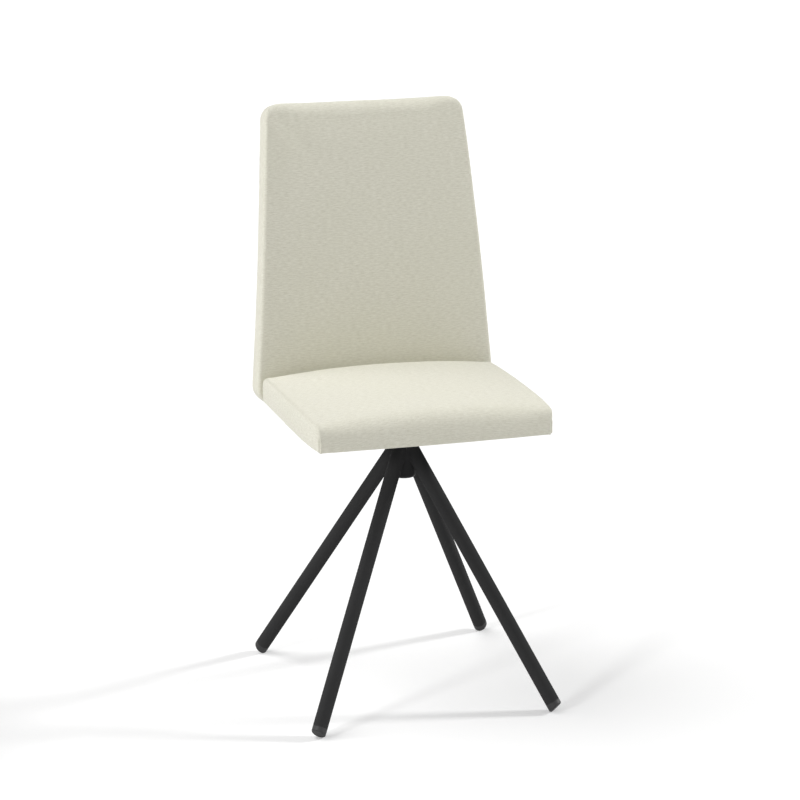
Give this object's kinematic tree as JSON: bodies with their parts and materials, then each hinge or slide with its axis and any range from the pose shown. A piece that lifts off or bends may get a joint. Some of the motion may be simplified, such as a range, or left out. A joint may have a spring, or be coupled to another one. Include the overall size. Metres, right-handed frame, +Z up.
{
  "type": "swivel dining chair",
  "caption": "Upholstered dining chair with a tall curved back that turns freely on a base of leaning round steel tubes welded to a central hub.",
  "frame": {"origin": "on the floor at the swivel axis, midway between the four feet", "axes": "+Z up along the swivel axis; the chair faces -Y at rest; -X is the left side for someone in front of the chair"},
  "size_m": [0.4336, 0.5032, 0.978],
  "materials": {
    "black_powder_coat": "matte",
    "black_plastic": "matte",
    "bearing_plastic": "satin",
    "turned_steel": "satin",
    "zinc_plated_steel": "satin",
    "plywood": "matte",
    "foam": "matte",
    "wadding": "matte",
    "black_lining": "matte",
    "cream_fabric": "matte"
  },
  "bodies": {
    "base": {"hub": "black_powder_coat", "leg_front_left": "black_powder_coat", "leg_front_right": "black_powder_coat", "leg_rear_left": "black_powder_coat", "leg_rear_right": "black_powder_coat", "foot_glide_front_left": "black_plastic", "foot_glide_front_right": "black_plastic", "foot_glide_rear_left": "black_plastic", "foot_glide_rear_right": "black_plastic", "hub_cap": "black_plastic", "upper_bush": "bearing_plastic", "lower_bush": "bearing_plastic", "thrust_washer": "bearing_plastic"},
    "seat_and_back": {"swivel_spindle": "turned_steel", "retaining_washer": "turned_steel", "retaining_screw": "zinc_plated_steel", "swivel_plate": "black_powder_coat", "plate_screws": "zinc_plated_steel", "plate_t_nuts": "zinc_plated_steel", "seat_board": "plywood", "seat_foam": "foam", "seat_cover": "cream_fabric", "seat_dust_cover": "black_lining", "back_bracket_left": "black_powder_coat", "back_bracket_right": "black_powder_coat", "bracket_seat_screws": "zinc_plated_steel", "bracket_seat_t_nuts": "zinc_plated_steel", "bracket_back_screws": "zinc_plated_steel", "bracket_back_t_nuts": "zinc_plated_steel", "back_shell": "plywood", "back_foam": "foam", "back_wadding": "wadding", "back_cover": "cream_fabric", "back_rear_panel": "cream_fabric"}
  },
  "joints": [
    {"name": "seat_swivel", "type": "hinge", "parent": "base", "child": "seat_and_back", "pos_m": [0, 0, 0.4605], "axis": [0, 0, 1], "continuous": true}
  ]
}
